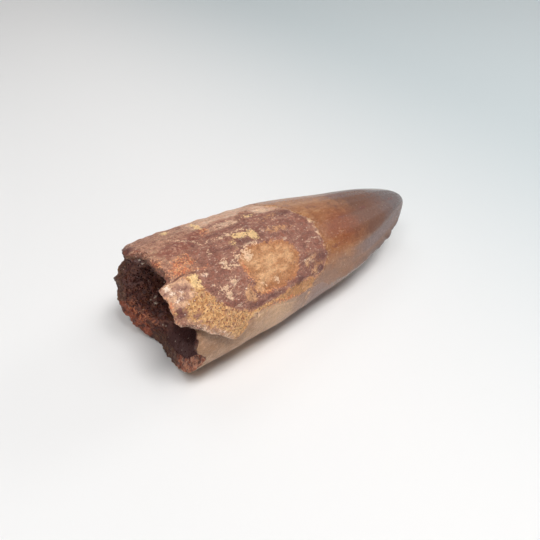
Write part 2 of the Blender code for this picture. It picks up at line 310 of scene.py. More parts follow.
DARK_STAINS = (
    (26.8, 20.8, 2.1, 0.8, 10), (-0.6, 54, 1.4, 1.2, 0), (50, 60.5, 3.0, 1.0, 3), (47.6, 65, 2.2, 0.4, 2),
    (44, 56, 2.0, 0.3, 0), (48, 73, 1.4, 1.4, 30), (21.6, 74.5, 2.2, 0.6, 5), (46.5, 5, 2.6, 1.0, 0),
    (28.4, 73.5, 2.0, 0.5, 0), (-1.6, -17, 1.7, 1.4, 0), (38.6, 72.5, 1.8, 1.2, -10), (58, 7, 1.4, 0.7, 0),
    (72, -10, 3.6, 2.0, 10), (57, 57, 0.9, 0.4, 0), (76, 27, 1.3, 0.7, 0),
    (93, 32, 1.6, 1.2, 0), (66, 30, 1.2, 0.3, 0), (13, 6, 0.5, 1.2, 0), (24, 22.5, 3.0, 0.3, 0),
)  # fmt: skip
MAUVE_STAINS = ((0.4, 55, 1.4, 1.6, 0), (3.5, 60, 1.4, 0.8, 20), (2.6, 37, 0.8, 0.5, 0))
# Painted glints: small white spots that stand for highlights on crystal faces.
PAINTED_GLINT_SPOTS = (
    (0.2, 37.5, 0.7, 0.4, 10), (-0.6, 33.5, 0.6, 0.5, 0), (1.4, 44, 0.6, 0.3, 0), (2.6, 39, 0.3, 0.3, 0),
    (9.2, 30, 0.4, 0.3, 20), (10.9, 34.8, 0.4, 0.35, 0), (27.8, 24, 0.45, 0.3, 0), (26.2, 18.2, 0.4, 0.25, 0),
)  # fmt: skip
CROWN_GLOW = ((66, 38, 12.0, 8.0, 0), (66, -90, 12.0, 8.0, 0))
# A painted sheen: a pale spot on top of the tip that stands for a reflection on the enamel.
PAINTED_TIP_SHEEN = ((98, -26, 13.0, 7.0, 0),)


def spots(ovals, along, turn):
    """How far points are inside the nearest of some oval spots, in millimetres, about."""
    best = np.full(np.broadcast(along, turn).shape, -99.0)
    for spot_along, spot_turn, half_length, half_width, slant in ovals:
        x, y = along - spot_along, MM_PER_DEGREE * wrap(turn - spot_turn)
        cosine, sine = math.cos(math.radians(slant)), math.sin(math.radians(slant))
        reach = np.hypot((x * cosine + y * sine) / half_length, (y * cosine - x * sine) / half_width)
        best = np.maximum(best, (1.0 - reach) * min(half_length, half_width))
    return best


print(len(YELLOW_FLAKES + CREAM_FLAKES + TAN_FLAKES + ORANGE_STAINS + DARK_STAINS), "oval spots on the root")

# %% [markdown]
# ## Relief of the outside
# The same patches have relief. The flaked oval is a little sunk, the sandy field is grainy, and the enamel
# stands above the root with a fine edge. Near the rim a layer split away and left a ledge. The crown has two
# cutting edges, and fine wrinkles cross the band beside the near one.

# %% Enamel, ledge and cutting edges
ENAMEL_EDGE = (
    (-180, 46), (-120, 44), (-60, 40), (-17, 44), (-8, 47), (5, 50), (22, 53.5), (40, 53.5), (60, 53), (74, 50),
    (84, 44), (100, 40), (140, 44),
)  # fmt: skip
ENAMEL_STEP = 0.35
LEDGE_TURN_AT_RIM = 65.0
LEDGE_TURN_PER_MM = 2.5
LEDGE_LENGTH = 17.0
LEDGE_LIP = 0.7
LEDGE_HOLLOW = 1.3
CARINA_TURN = 100.0
CARINA_HEIGHT = 0.75
CARINA_WEAR = 0.8
CARINA_WIDTH_TURN = 7.0
CARINA_STARTS = 40.0
CARINA_ENDS = 101.0
FACET_TURN = 24.0
FACET_DEPTH = 0.45


def past_enamel_edge(along, turn):
    """How far points are on the enamel's side of its edge, in millimetres."""
    return along - round_table(ENAMEL_EDGE, turn) - 1.2 * lumps(along, turn, 7.0, 3.0)


def under_ledge(along, turn):
    """How many degrees points are below the line where the ledge split away."""
    line = LEDGE_TURN_AT_RIM + LEDGE_TURN_PER_MM * np.maximum(0.0, along)
    return wrap(turn - line + 2.5 * lumps(along, 0.0 * turn, 2.2, 61.0))


def ledge(along, turn):
    """The height of the lip over the ledge and the hollow under it. Both fade into the cone farther away."""
    under = under_ledge(along, turn)
    split = smooth(-1.0, 1.0, under)
    lip = LEDGE_LIP * (1.0 - split) * (1.0 - smooth(2.0, 30.0, -under))
    hollow = LEDGE_HOLLOW * split * (1.0 - smooth(4.0, 36.0, under))
    return (lip - hollow) * (1.0 - smooth(0.5 * LEDGE_LENGTH, LEDGE_LENGTH, along))


def carina(along, turn):
    """The height of the two worn cutting edges, with the flat facet that runs above each."""
    height = 0.0
    worn = 1.0 + CARINA_WEAR * lumps(along, 0.0 * turn, 4.0, 14.0) + 0.4 * lumps(along, 0.0 * turn, 1.1, 15.0)
    for middle in (CARINA_TURN, CARINA_TURN - 180.0):
        away = wrap(turn - middle)
        height = height + CARINA_HEIGHT * worn * np.exp(-((away / CARINA_WIDTH_TURN) ** 2))
        height = height - FACET_DEPTH * np.exp(-(((away + FACET_TURN) / (0.6 * FACET_TURN)) ** 2))
    grown = smooth(CARINA_STARTS, CARINA_STARTS + 25.0, along)
    return grown * smooth(CARINA_ENDS, CARINA_ENDS - 14.0, along) * height


def wrinkled_band(along, turn):
    """1 in the bands beside the cutting edges, 0 elsewhere. The bands widen towards the tip."""
    half_width = 9.0 + 6.0 * smooth(70.0, 95.0, along)
    away = [wrap(turn - middle + 22.0) / half_width for middle in (CARINA_TURN, CARINA_TURN - 180.0)]
    band = np.exp(-(np.minimum(np.abs(away[0]), np.abs(away[1])) ** 6))
    return band * smooth(60.0, 76.0, along) * (1.0 - smooth(99.0, 103.0, along))


def beside_carina(along, turn):
    """1 on and just under the cutting edges of the crown, 0 elsewhere."""
    away = [wrap(turn - middle - 4.0) for middle in (CARINA_TURN, CARINA_TURN - 180.0)]
    return smooth(18.0, 6.0, np.minimum(np.abs(away[0]), np.abs(away[1]))) * smooth(55.0, 80.0, along)


# %% All the relief together
LUMP_HEIGHT = 0.4
LUMP_SIZE = 13.0
PIT_HEIGHT = 0.28
PIT_SIZE = 3.6
FLAKED_DEPTH = 0.35
RIM_WEAR = 0.6
FLUTE_HEIGHT = 0.04
FLUTE_COUNT = 22


def relief(along, turn):
    """How far the surface stands out from its smooth cone, in millimetres. The worn underside is flat."""
    fine = lumps(along, turn, 1.4, 6.0)
    root = 1.0 - smooth(-0.5, 0.5, past_enamel_edge(along, turn))
    oval = smooth(-0.5, 0.7, inside(FLAKED_OVAL, along, turn) + fine)
    sand = smooth(-1.0, 1.5, np.maximum(inside(OCHRE_SAND, along, turn), inside(FAR_OCHRE_SAND, along, turn)))
    skin = smooth(-0.4, 0.6, inside(PURPLE_SKIN, along, turn) + 1.5 * lumps(along, turn, 3.0, 23.0))
    skin = skin * (1.0 - oval)
    lobe = smooth(-0.5, 1.0, inside(SPARKLING_LOBE, along, turn))
    flank = smooth(-0.5, 1.5, inside(GREY_FLANK, along, turn))
    height = ENAMEL_STEP * (1.0 - root) - FLAKED_DEPTH * oval + 0.15 * skin
    height = height + ledge(along, turn) + carina(along, turn)
    height = height + LUMP_HEIGHT * (0.3 + 0.7 * root) * lumps(along, turn, LUMP_SIZE, 0.0)
    rugged = root * (1.0 - 0.8 * flank)
    height = height + rugged * (PIT_HEIGHT * lumps(along, turn, PIT_SIZE, 5.0) + 0.2 * fine)
    grain = grains(along, turn, 1.1, 7.0) - 0.5
    height = height + rugged * (0.06 + 0.26 * sand + 0.12 * oval + 0.2 * lobe) * grain
    height = height + 0.9 * lobe * lumps(along, turn, 2.6, 9.0)
    worn_back = RIM_WEAR * (1.0 + lumps(along, turn, 2.0, 12.0)) * (1.0 - 0.8 * chalky(turn)) * (1.0 - flank)
    height = height - worn_back * (1.0 - smooth(0.0, 2.2, along - rim(turn)))
    height = height - 0.3 * np.exp(-((beside(RIM_CRACK, along, turn) / 0.4) ** 2))
    height = height - 0.2 * np.exp(-((beside(FLANK_SCRATCH, along, turn) / 0.3) ** 2))
    flutes = np.cos(np.radians(FLUTE_COUNT * turn) + 1.5 * lumps(along, turn, 20.0, 8.0))
    height = height + FLUTE_HEIGHT * (1.0 - root) * flutes
    height = height * (1.0 - smooth(0.98, 1.0, along / TOOTH_LENGTH))
    return height * (1.0 - smooth(155.0, 168.0, np.abs(turn)))


# %% [markdown]
# ## The tooth's mesh
# A tooth is round all over, so its mesh is a grid of rings threaded on its axis: down the outside from the tip,
# across the broken lip, and into the hollow. The rings stand closest near the rim, where most of the detail
# is. Joining neighbours makes one closed skin with no seams, and each point carries its patch distances for
# the shader. Sculpting by hand would give the same skin, but this one can be changed by a number.

# %% A closed mesh from rings
def ring_mesh(name, rings, first_pole, last_pole, fields):
    """Joins rings of points, each with the same count, and closes both ends at a pole."""
    rows, count = rings.shape[:2]
    points = np.concatenate((rings.reshape(-1, 3), (first_pole, last_pole)))
    here = np.arange(rows * count).reshape(rows, count)
    there = np.roll(here, -1, axis=1)
    quads = np.stack((here[:-1], there[:-1], there[1:], here[1:]), -1).reshape(-1, 4)
    fans = [(here[0, i], there[0, i], rows * count) for i in range(count)]
    fans += [(there[-1, i], here[-1, i], rows * count + 1) for i in range(count)]
    mesh = bpy.data.meshes.new(name)
    mesh.from_pydata(points.tolist(), [], quads.tolist() + [[int(i) for i in fan] for fan in fans])
    for label, values in fields.items():
        values = np.broadcast_to(values, (rows, count))
        padded = np.concatenate((values.ravel(), (values[0].mean(), values[-1].mean())))
        mesh.attributes.new(label, "FLOAT", "POINT").data.foreach_set("value", padded.astype(np.float32))
    mesh.update()
    return mesh


def add_piece(mesh, node):
    """Shows a mesh in place of one of the solids, riding on the same body."""
    piece = bpy.data.objects.new(mesh.name, mesh)
    bpy.context.scene.collection.objects.link(piece)
    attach(piece, "root")
    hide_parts(node)
    mesh.calc_loop_triangles()
    print(piece.name, len(mesh.loop_triangles), "triangles")
    return piece


# %% The rings of the tooth
POINTS_AROUND = 384
RINGS_OUTSIDE = 216
RINGS_LIP = 20
RINGS_CAVITY = 7

turns = np.linspace(-180.0, 180.0, POINTS_AROUND, endpoint=False)
steps = np.arange(RINGS_OUTSIDE - 1, -1, -1) / RINGS_OUTSIDE
crowded = 0.5 * steps + 0.25 * (1.0 - np.cos(np.pi * steps))
stations = TOOTH_LENGTH * (1.0 - (1.0 - crowded) ** 1.25)
outer_along = stations[:, None] + rim(turns) * (1.0 - smooth(0.0, 0.25, steps))[:, None]
outer_turn = np.broadcast_to(turns, outer_along.shape)
outer = tooth_points(outer_along, outer_turn, 1.0, relief(outer_along, outer_turn))

lip_share = (np.arange(1, RINGS_LIP + 1) / (RINGS_LIP + 1))[:, None]
lip_turn = np.broadcast_to(turns, (RINGS_LIP, POINTS_AROUND))
lip_flat = rim(turns) + (cavity_mouth(turns) - rim(turns)) * lip_share
lip_rough = 0.55 * lumps(6.0 * lip_share, lip_turn, 2.2, 20.0)
lip_rough = lip_rough + 0.45 * (grains(5.0 * lip_share, lip_turn, 0.9, 21.0) - 0.5)
lip_along = lip_flat - lip_rough * smooth(0.0, 0.12, lip_share)
lip_wall = 1.0 - lip_share * round_table(ROOT_WALL, turns) / section(lip_along)[0]
lip = tooth_points(lip_along, lip_turn, lip_wall, relief(lip_along, lip_turn) * (1.0 - lip_share))

deep_share = (np.arange(RINGS_CAVITY) / RINGS_CAVITY)[:, None]
deep_along = cavity_mouth(turns) * (1.0 - deep_share) + 0.97 * CAVITY_DEPTH * deep_share
deep_turn = np.broadcast_to(turns, deep_along.shape)
deep = tooth_points(deep_along, deep_turn, cavity_share(deep_along, deep_turn, 0.0))
print("rings:", RINGS_OUTSIDE + RINGS_LIP + RINGS_CAVITY, "of", POINTS_AROUND, "points")

# %% The patch distances, and the finished mesh
ring_along = np.concatenate((outer_along, lip_along, deep_along))
ring_turn = np.concatenate((outer_turn, lip_turn, deep_turn))
on_lip = np.zeros(ring_along.shape)
on_lip[RINGS_OUTSIDE:] = 1.0
tooth_fields = {
    "along": ring_along,
    "upward": np.cos(np.radians(ring_turn)),
    "lip": on_lip,
    "from_rim": ring_along - rim(ring_turn),
    "rusty": rusted(ring_turn),
    "chalky": chalky(ring_turn),
    "purple": np.maximum(*(inside(skin, ring_along, ring_turn) for skin in (PURPLE_SKIN, FAR_PURPLE_SKIN))),
    "sand": np.maximum(*(inside(sand, ring_along, ring_turn) for sand in (OCHRE_SAND, FAR_OCHRE_SAND))),
    "crack": beside(RIM_CRACK, ring_along, ring_turn),
    "scratch": beside(FLANK_SCRATCH, ring_along, ring_turn),
    "below_ledge": under_ledge(ring_along, ring_turn),
    "by_ledge": 1.0 - smooth(10.0, 14.0, ring_along),
    "enamel": past_enamel_edge(ring_along, ring_turn),
    "wrinkled": wrinkled_band(ring_along, ring_turn),
    "worn_edge": beside_carina(ring_along, ring_turn),
    "wrinkle_place": ring_along + 0.04 * ring_turn,
}
outlines = {"red_dust": RED_DUST, "tan_strip": TAN_STRIP, "oval": FLAKED_OVAL, "flank": GREY_FLANK}
outlines["lobe"] = SPARKLING_LOBE
for label, outline in outlines.items():
    tooth_fields[label] = inside(outline, ring_along, ring_turn)
groups = {"orange": ORANGE_STAINS, "yellow": YELLOW_FLAKES, "cream": CREAM_FLAKES, "tan": TAN_FLAKES}
groups.update({"dark": DARK_STAINS, "glow": CROWN_GLOW, "worn_tip": PAINTED_TIP_SHEEN, "mauve": MAUVE_STAINS})
groups["glints"] = PAINTED_GLINT_SPOTS
for label, group in groups.items():
    tooth_fields[label] = spots(group, ring_along, ring_turn)
tooth_mesh = ring_mesh(
    "fossil_tooth",
    np.concatenate((outer, lip, deep)),
    tooth_points(np.array(TOOTH_LENGTH), 0.0),
    tooth_points(np.array(CAVITY_DEPTH), 0.0, 0.0),
    tooth_fields,
)
tooth_mesh.shade_smooth()
tooth = add_piece(tooth_mesh, "tooth")

# %% [markdown]
# ## The crust in the hollow
# Water left sand and small crystals on the hollow's wall. The crust is one piece: a skin of rounded grains,
# thickest low down on the near side, with thousands of small crystals grown on it. The skin is a ring mesh
# like the tooth's. Its front edge is sunk into the wall so that no gap shows where it ends.

# %% The crust's skin
CRUST_THICKNESS = 1.8
CRUST_BANK = 1.3
CRUST_BANK_TURN = 150.0
SILT_TURN = 145.0
SILT_SWELL = 0.5
CRUST_POINTS_AROUND = 288
CRUST_RINGS = 100
FACE_END = 0.84 * CAVITY_DEPTH
BACK_END = 0.96 * CAVITY_DEPTH


def silted(turn):
    """1 low down on the near side, where fine silt covered the crystals, and 0 elsewhere."""
    return smooth(62.0, 32.0, np.abs(wrap(turn - SILT_TURN)))


def crust_face(depth, turn):
    """The along, turn and inset of the crust's free face, at a share of its depth from the mouth."""
    mouth = cavity_mouth(turn)
    along = mouth * (1.0 - depth) + FACE_END * depth
    bank = smooth(-0.2, 1.0, np.cos(np.radians(turn - CRUST_BANK_TURN)))
    rugged = 1.0 - 0.5 * silted(turn)
    swell = CRUST_THICKNESS + CRUST_BANK * bank + 0.6 * lumps(along, turn, 9.0, 31.0)
    swell = swell + rugged * (0.7 * lumps(along, turn, 3.0, 32.0) + 0.6 * grains(along, turn, 1.5, 33.0))
    swell = swell + SILT_SWELL * silted(turn)
    calm_mouth = round_table(BROKEN_RIM, turn) + 0.35 * round_table(ROOT_WALL, turn)
    sunk_edge = 0.4 * (1.0 - smooth(0.0, 1.0, along - mouth))
    return along, swell * smooth(-0.5, 3.0, along - calm_mouth) - sunk_edge


crust_turns = np.linspace(-180.0, 180.0, CRUST_POINTS_AROUND, endpoint=False)
face_depth = ((np.arange(CRUST_RINGS) / CRUST_RINGS) ** 1.35)[:, None]
face_turn = np.broadcast_to(crust_turns, (CRUST_RINGS, CRUST_POINTS_AROUND))
face_along, face_inset = crust_face(face_depth, face_turn)
face = tooth_points(face_along, face_turn, cavity_share(face_along, face_turn, face_inset))

back_depth = np.array([0.9, 0.7, 0.5, 0.3, 0.12, 0.02])[:, None]
back_along = (cavity_mouth(crust_turns) + 0.5) * (1.0 - back_depth) + BACK_END * back_depth
back_turn = np.broadcast_to(crust_turns, back_along.shape)
back = tooth_points(back_along, back_turn, cavity_share(back_along, back_turn, -0.6))
print("crust is up to", round(float(face_inset.max()), 1), "mm thick")

# %% [markdown]
# ## Crystals
# Each crystal is a small block with flat faces, stretched, sheared and turned by chance, with its foot in the
# skin. Six thousand of them are made at once as one array. Particles would be quicker to set up, but real
# faces belong to the piece and go wherever it goes. Each crystal carries one number, its tint, so that a few
# of them can be pale. That pale colour is partly the crystals' own and partly a painted glint.

# %% Six thousand small blocks
CRYSTALS = 6000
chance = np.random.default_rng(7)
seat_depth = chance.random(CRYSTALS) ** 1.5
seat_turn = chance.uniform(-180.0, 180.0, CRYSTALS)
seat_along, seat_inset = crust_face(seat_depth, seat_turn)
seats = tooth_points(seat_along, seat_turn, cavity_share(seat_along, seat_turn, seat_inset))

cube = np.array([(x, y, z) for x in (-0.5, 0.5) for y in (-0.5, 0.5) for z in (-0.5, 0.5)])
CUBE_FACES = ((0, 1, 3, 2), (4, 6, 7, 5), (0, 4, 5, 1), (2, 3, 7, 6), (0, 2, 6, 4), (1, 5, 7, 3))
sizes = MM * (0.25 + 0.55 * chance.random((CRYSTALS, 1, 1)) ** 2.0)
sizes = sizes * (1.0 - 0.55 * silted(seat_turn))[:, None, None]
blocks = cube * (sizes * chance.uniform(0.6, 1.5, (CRYSTALS, 1, 3)))
blocks[:, :, 0] += chance.uniform(-0.5, 0.5, (CRYSTALS, 1)) * blocks[:, :, 2]
blocks[:, :, 1] += chance.uniform(-0.5, 0.5, (CRYSTALS, 1)) * blocks[:, :, 0]
axes = np.linalg.qr(chance.normal(size=(CRYSTALS, 3, 3)))[0]
blocks = np.einsum("cij,ckj->cki", axes, blocks) + seats[:, None]
tints = np.repeat(chance.random(CRYSTALS), 8)
print("crystals from", round(float(sizes.min() / MM), 2), "to", round(float(sizes.max() * 1.5 / MM), 2), "mm")

# %% Skin and crystals in one mesh
skin_along = np.concatenate((back_along, face_along))
skin_turn = np.concatenate((back_turn, face_turn))
skin_points = np.concatenate((back, face))
skin = ring_mesh(
    "crust_skin",
    skin_points,
    tooth_points(np.array(BACK_END), 0.0, 0.0),
    tooth_points(np.array(FACE_END), 0.0, 0.0),
    {},
)
skin_count = len(skin.vertices)
points = np.empty(skin_count * 3)
skin.vertices.foreach_get("co", points)
faces = [tuple(face_of.vertices) for face_of in skin.polygons]
smooth_faces = len(faces)
bpy.data.meshes.remove(skin)
for block in range(CRYSTALS):
    foot = skin_count + 8 * block
    faces += [tuple(foot + corner for corner in corners) for corners in CUBE_FACES]
crust_mesh = bpy.data.meshes.new("crystal_crust")
crust_mesh.from_pydata(np.concatenate((points.reshape(-1, 3), blocks.reshape(-1, 3))).tolist(), [], faces)
crust_mesh.polygons.foreach_set("use_smooth", np.arange(len(faces)) < smooth_faces)


def crust_field(label, skin_values, crystal_values):
    """Writes one number to every point of the crust. The two poles take 0."""
    values = np.concatenate((np.ravel(skin_values), (0.0, 0.0), crystal_values))
    crust_mesh.attributes.new(label, "FLOAT", "POINT").data.foreach_set("value", values.astype(np.float32))


crystal_along, crystal_turn = np.repeat(seat_along, 8), np.repeat(seat_turn, 8)
crust_field("from_mouth", skin_along - cavity_mouth(skin_turn), crystal_along - cavity_mouth(crystal_turn))
crust_field("tint", 0.5 + 0.0 * skin_along, tints)
crust_field("silt", silted(skin_turn), silted(crystal_turn))
crust_field("rusty", rusted(skin_turn), rusted(crystal_turn))
crust_mesh.update()
crust = add_piece(crust_mesh, "cavity_crust")

# %% [markdown]
# ## Shader sums as plain Python
# A finish is a sum of many small decisions: this patch here, that stain there. Wiring each by hand in the
# node editor is slow, so one small class lets sockets be added and multiplied like numbers, and a second one
# adds any other node. The nodes that result are the same as the ones a person would wire.

# %% Wires and finishes
class Wire:
    """A socket that can be used in sums."""

    def __init__(self, finish, socket):
        self.finish, self.socket = finish, socket

    def sum(self, operation, *values):
        settings = {"operation": operation}
        return self.finish.node("ShaderNodeMath", settings, dict(enumerate(values)))

    def __add__(self, other):
        return self.sum("ADD", self, other)

    __radd__ = __add__

    def __sub__(self, other):
        return self.sum("SUBTRACT", self, other)

    def __rsub__(self, other):
        return self.sum("SUBTRACT", other, self)

    def __mul__(self, other):
        return self.sum("MULTIPLY", self, other)

    __rmul__ = __mul__

    def __truediv__(self, other):
        return self.sum("DIVIDE", self, other)

    def __abs__(self):
        return self.sum("ABSOLUTE", self)


def swatch(*paint):
    """A colour as a paint chart gives it, from 0 to 255, turned into the light that a shader works in."""
    return tuple(((value / 255.0 + 0.055) / 1.055) ** 2.4 for value in paint) + (1.0,)


class Finish:
    """The shader of a material or of the world, fed by wires."""

    def __init__(self, owner, shader="Principled BSDF"):
        owner.use_nodes = True
        self.owner, self.tree = owner, owner.node_tree
        self.shader = self.tree.nodes[shader]

    def set(self, node, socket, value):
        """Gives a node's socket a wire or a plain value."""
        if isinstance(value, Wire):
            self.tree.links.new(value.socket, node.inputs[socket])
        else:
            node.inputs[socket].default_value = value

    def node(self, kind, settings, values, output=0):
        """Adds a node, sets it up, fills its sockets and returns one of its outputs."""
        made = self.tree.nodes.new(kind)
        for label, value in settings.items():
            setattr(made, label, value)
        for socket, value in values.items():
            self.set(made, socket, value)
        return Wire(self, made.outputs[output])

    def feed(self, **values):
        """Fills the shader's own sockets, such as base_color or roughness."""
        for label, value in values.items():
            self.set(self.shader, label.replace("_", " ").title(), value)

    def field(self, label):
        """A number that each point of the mesh carries."""
        return self.node("ShaderNodeAttribute", {"attribute_name": label}, {}, "Fac")

    def place(self, stretch):
        """Where the point is in the stone. A stretch over 1 draws patterns out along the tooth."""
        where = self.node("ShaderNodeTexCoord", {}, {}, "Object")
        squeezed = {0: where, 1: (1.0 / stretch, 1.0, 1.0)}
        return self.node("ShaderNodeVectorMath", {"operation": "MULTIPLY"}, squeezed)

    def cloud(self, size, detail=3.0, rough=0.6, stretch=1.0):
        """Noise from about 0 to 1, with patches about size millimetres across."""
        values = {"Vector": self.place(stretch), "Scale": 1.0 / (size * MM)}
        values.update({"Detail": detail, "Roughness": rough})
        return self.node("ShaderNodeTexNoise", {}, values)

    def pebbles(self, size):
        """0 at the middle of each grain, rising towards its edge."""
        values = {"Vector": self.place(1.0), "Scale": 1.0 / (size * MM)}
        return self.node("ShaderNodeTexVoronoi", {}, values, "Distance")

    def ramp(self, low, high, value):
        """0 at low, 1 at high, and a smooth change between them."""
        values = {"Value": value, "From Min": low, "From Max": high}
        return self.node("ShaderNodeMapRange", {"interpolation_type": "SMOOTHSTEP"}, values)

    def blend(self, share, first, second, way="MIX"):
        """A colour that goes from first to second."""
        values = {0: share, 6: first, 7: second}
        return self.node("ShaderNodeMix", {"data_type": "RGBA", "blend_type": way}, values, 2)

    def bump(self, height):
        """A normal from a height in millimetres."""
        return self.node("ShaderNodeBump", {}, {"Height": height, "Distance": MM})


# %% [markdown]
# ## The finish of the tooth
# The colours are built up as they lie on the tooth, from the bottom layer up. First the bare root, dusty pink
# and brown. Then each patch, whose edge is its distance plus noise, so that it frays as real flakes do. Last
# the enamel, which is smoother and glossier than the root, and the fresh stone of the broken lip. The same few
# noises are shared by all of them, because the same grain runs through the whole stone.

# %% Start the finish, and fray an edge
t = Finish(bpy.data.materials.new("fossil_tooth"))
grain = t.cloud(0.45, 2.0)
small = t.cloud(1.2, 4.0, 0.65)
patchy = t.cloud(4.0, 5.0, 0.65)
broad = t.cloud(14.0)
streaky = t.cloud(1.5, 4.0, 0.6, stretch=4.0)
flecked = t.cloud(0.9, 3.0, 0.7)
spotted = t.cloud(2.0, 4.0, 0.7)
brushed = t.cloud(0.8, 3.0, 0.65, stretch=2.5)
pitted = t.cloud(0.6, 2.0, 0.6)
mottled = t.cloud(2.2, 4.0, 0.6, stretch=1.8)


def frayed(label, patch_reach, small_reach, grain_reach, softness=0.3):
    """1 inside a patch and 0 outside it, with an edge that wanders by about these reaches in millimetres."""
    wander = (patchy - 0.5) * (4.0 * patch_reach) + (small - 0.5) * (4.0 * small_reach)
    wander = wander + (grain - 0.5) * (4.0 * grain_reach)
    return t.ramp(-softness, softness, t.field(label) + wander)


# %% The bare root
DUSTY_PINK = swatch(186, 137, 112)
DUSTY_BROWN = swatch(156, 102, 80)
ROOT_TAN = swatch(206, 164, 132)
RED_STAIN = swatch(120, 52, 38)
STRIP_TAN = swatch(210, 162, 134)
STRIP_PALE = swatch(230, 196, 170)

colour = t.blend(t.ramp(0.36, 0.60, small), DUSTY_BROWN, DUSTY_PINK)
colour = t.blend(t.ramp(0.50, 0.70, streaky) * 0.7, colour, ROOT_TAN)
colour = t.blend(t.ramp(0.56, 0.64, spotted) * 0.6, colour, RED_STAIN)
strip = t.blend(t.ramp(0.45, 0.65, streaky), STRIP_TAN, STRIP_PALE)
colour = t.blend(frayed("tan_strip", 1.0, 1.0, 0.5, 1.0), colour, strip)

# %% Red dust and the purple-brown skin
DUST_RED = swatch(152, 91, 74)
PURPLE = swatch(162, 111, 92)
PURPLE_DARK = swatch(136, 86, 71)
PURPLE_RED = swatch(146, 84, 64)
PURPLE_PALE = swatch(188, 142, 120)
MAROON = swatch(116, 66, 56)

dust = t.blend(t.ramp(0.48, 0.60, small), DUST_RED, DUSTY_PINK)
dust = t.blend(t.ramp(0.52, 0.60, flecked) * 0.8, dust, RED_STAIN)
colour = t.blend(frayed("red_dust", 1.0, 1.5, 0.5, 0.8) * 0.9, colour, dust)

skin = t.blend(t.ramp(0.40, 0.60, patchy), PURPLE_DARK, PURPLE)
skin = t.blend(t.ramp(0.48, 0.60, spotted) * 0.7, skin, PURPLE_RED)
skin = t.blend(t.ramp(0.52, 0.64, streaky) * 0.5, skin, PURPLE_PALE)
skin = t.blend(t.ramp(0.55, 0.68, mottled) * 0.3, skin, STRIP_TAN)
skin = t.blend(t.ramp(0.59, 0.67, brushed) * 0.6, skin, STRIP_PALE)
skin = t.blend(t.ramp(0.42, 0.34, brushed) * 0.5, skin, MAROON)
skin_share = frayed("purple", 1.2, 1.3, 0.5)
colour = t.blend(skin_share, colour, skin)

# %% The ochre sand, the smooth flank and the flaked oval
OCHRE = swatch(202, 144, 90)
OCHRE_PALE = swatch(228, 180, 124)
OCHRE_PIT = swatch(138, 78, 48)
OCHRE_WORN = swatch(184, 128, 80)
FLANK_GREY = swatch(197, 157, 121)
FLANK_OLIVE = swatch(154, 114, 82)
FLANK_PINK = swatch(200, 162, 134)
FLANK_DUSK = swatch(146, 116, 104)
LEDGE_SHADE = swatch(124, 92, 68)
OVAL_TAN = swatch(180, 124, 80)
OVAL_PALE = swatch(216, 165, 119)
OVAL_ORANGE = swatch(170, 108, 66)

pebble = t.pebbles(0.9)
sand = t.blend(t.ramp(0.2, 0.8, pebble), OCHRE_PALE, OCHRE)
sand = t.blend(t.ramp(0.54, 0.62, spotted) * 0.4, sand, PURPLE_PALE)
smooth_end = t.ramp(26.0, 34.0, t.field("along"))
sand = t.blend(smooth_end * 0.8, sand, OCHRE_WORN)
sand = t.blend(t.ramp(0.54, 0.60, pitted) * (0.9 - smooth_end * 0.6), sand, OCHRE_PIT)
sand_share = frayed("sand", 0.8, 1.0, 0.4)
colour = t.blend(sand_share, colour, sand)

flank = t.blend(t.ramp(0.40, 0.60, broad), FLANK_OLIVE, FLANK_GREY)
flank = t.blend(t.ramp(0.45, 0.65, mottled) * 0.5, flank, FLANK_PINK)
flank = t.blend(t.ramp(28.0, 46.0, t.field("along") + (patchy - 0.5) * 10.0), flank, FLANK_DUSK)
flank_share = frayed("flank", 0.4, 0.4, 0.1)
colour = t.blend(flank_share, colour, flank)

bare_tan = t.blend(t.ramp(0.40, 0.60, mottled), OVAL_TAN, OVAL_PALE)
from_oval_edge = t.field("oval") + (small - 0.5) * 6.0
oval = t.blend(t.ramp(3.0, 0.0, from_oval_edge) * 0.75, bare_tan, OVAL_ORANGE)
oval = t.blend(t.ramp(0.58, 0.66, flecked) * 0.5, oval, OVAL_ORANGE)
oval = t.blend(t.ramp(0.62, 0.38, t.field("upward")) * 0.7, oval, OVAL_ORANGE)
oval_share = frayed("oval", 0.6, 0.9, 0.3)
colour = t.blend(oval_share, colour, oval)

# %% Flakes, stains and cracks
YELLOW = swatch(242, 202, 144)
CREAM = swatch(224, 186, 152)
ORANGE = swatch(196, 108, 68)
ORANGE_PALE = swatch(220, 158, 108)
DARK = swatch(104, 56, 50)
LOBE_PINK = swatch(176, 130, 107)
LOBE_TAN = swatch(218, 172, 136)
LOBE_MAUVE = swatch(142, 94, 82)
GLINT_PAINT = swatch(246, 226, 208)

LIP_BROWN = swatch(106, 66, 50)
LIP_OLIVE = swatch(122, 90, 62)
LIP_RUST = swatch(158, 82, 54)
LIP_RED = swatch(128, 70, 54)
LIP_PALE = swatch(214, 160, 128)
LIP_DARK = swatch(72, 42, 36)

lobe = t.blend(t.ramp(0.42, 0.58, spotted), LOBE_PINK, LOBE_TAN)
lobe = t.blend(t.ramp(0.47, 0.40, small) * 0.7, lobe, LOBE_MAUVE)
lobe_share = frayed("lobe", 0.8, 1.4, 0.6)
colour = t.blend(lobe_share, colour, lobe)
orange = t.blend(t.ramp(0.50, 0.60, flecked), ORANGE, ORANGE_PALE)
